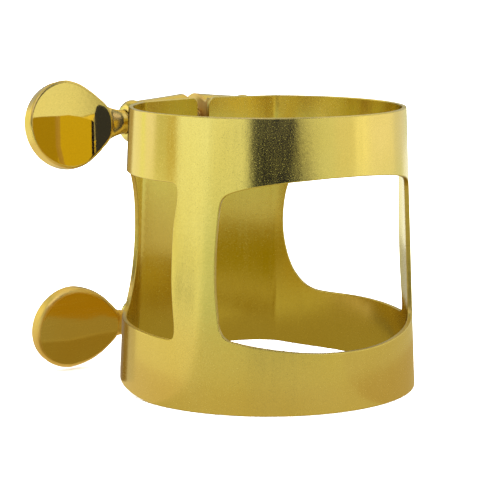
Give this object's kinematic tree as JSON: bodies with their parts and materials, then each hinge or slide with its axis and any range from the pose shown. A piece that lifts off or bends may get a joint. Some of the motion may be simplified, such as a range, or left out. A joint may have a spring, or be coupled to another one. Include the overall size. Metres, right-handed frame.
{
  "type": "saxophone ligature",
  "caption": "Split tapered sheet-brass clamp band with three windows and flat back panels, closed by thumb screws through brazed lugs, for holding a reed on a mouthpiece.",
  "frame": {"origin": "on the large-end rim face, at mid-thickness of the sheet, on the symmetry plane, opposite the split", "axes": "+Z along the bore axis from the large end to the small end; +Y from the origin across the bore to the split; +X to the right when looking along +Y, so the thumb paddles stand out to -X. The bore axis is the line x = 0, y = 13.775 mm."},
  "size_m": [0.0317, 0.031, 0.0282],
  "materials": {
    "band_lacquered_brass": "satin-smooth clear gold lacquer over sheet brass, fine speckle",
    "lug_brass": "turned and lacquered, paler than the band, pink copper tone on the cut inner ends",
    "paddle_brass": "polished and lacquered, faint brushing",
    "screw_brass": "machined thread, lacquered"
  },
  "bodies": {
    "clamp_band": {"band": "band_lacquered_brass", "upper_left_lug": "lug_brass", "upper_right_lug": "lug_brass", "lower_left_lug": "lug_brass", "lower_right_lug": "lug_brass"},
    "upper_shank": {"upper_screw_shank": "screw_brass"},
    "upper_paddle": {"upper_thumb_paddle": "paddle_brass"},
    "lower_shank": {"lower_screw_shank": "screw_brass"},
    "lower_paddle": {"lower_thumb_paddle": "paddle_brass"}
  },
  "joints": [
    {"name": "upper_screw_advance", "type": "slide", "parent": "clamp_band", "child": "upper_shank", "axis": [-1, 0, 0], "range_m": [0, 0.0053]},
    {"name": "upper_screw_turn", "type": "hinge", "parent": "upper_shank", "child": "upper_paddle", "pos_m": [-0.00738, 0.02828, 0.024], "axis": [-1, 0, 0], "range_deg": [0, 4770]},
    {"name": "lower_screw_advance", "type": "slide", "parent": "clamp_band", "child": "lower_shank", "axis": [-1, 0, 0], "range_m": [0, 0.0053]},
    {"name": "lower_screw_turn", "type": "hinge", "parent": "lower_shank", "child": "lower_paddle", "pos_m": [-0.00738, 0.02813, 0.0042], "axis": [-1, 0, 0], "range_deg": [0, 4770]}
  ],
  "couplings": [
    {"joint": "upper_screw_turn", "follows": "upper_screw_advance", "rad_per_m": 15708},
    {"joint": "lower_screw_turn", "follows": "lower_screw_advance", "rad_per_m": 15708}
  ]
}
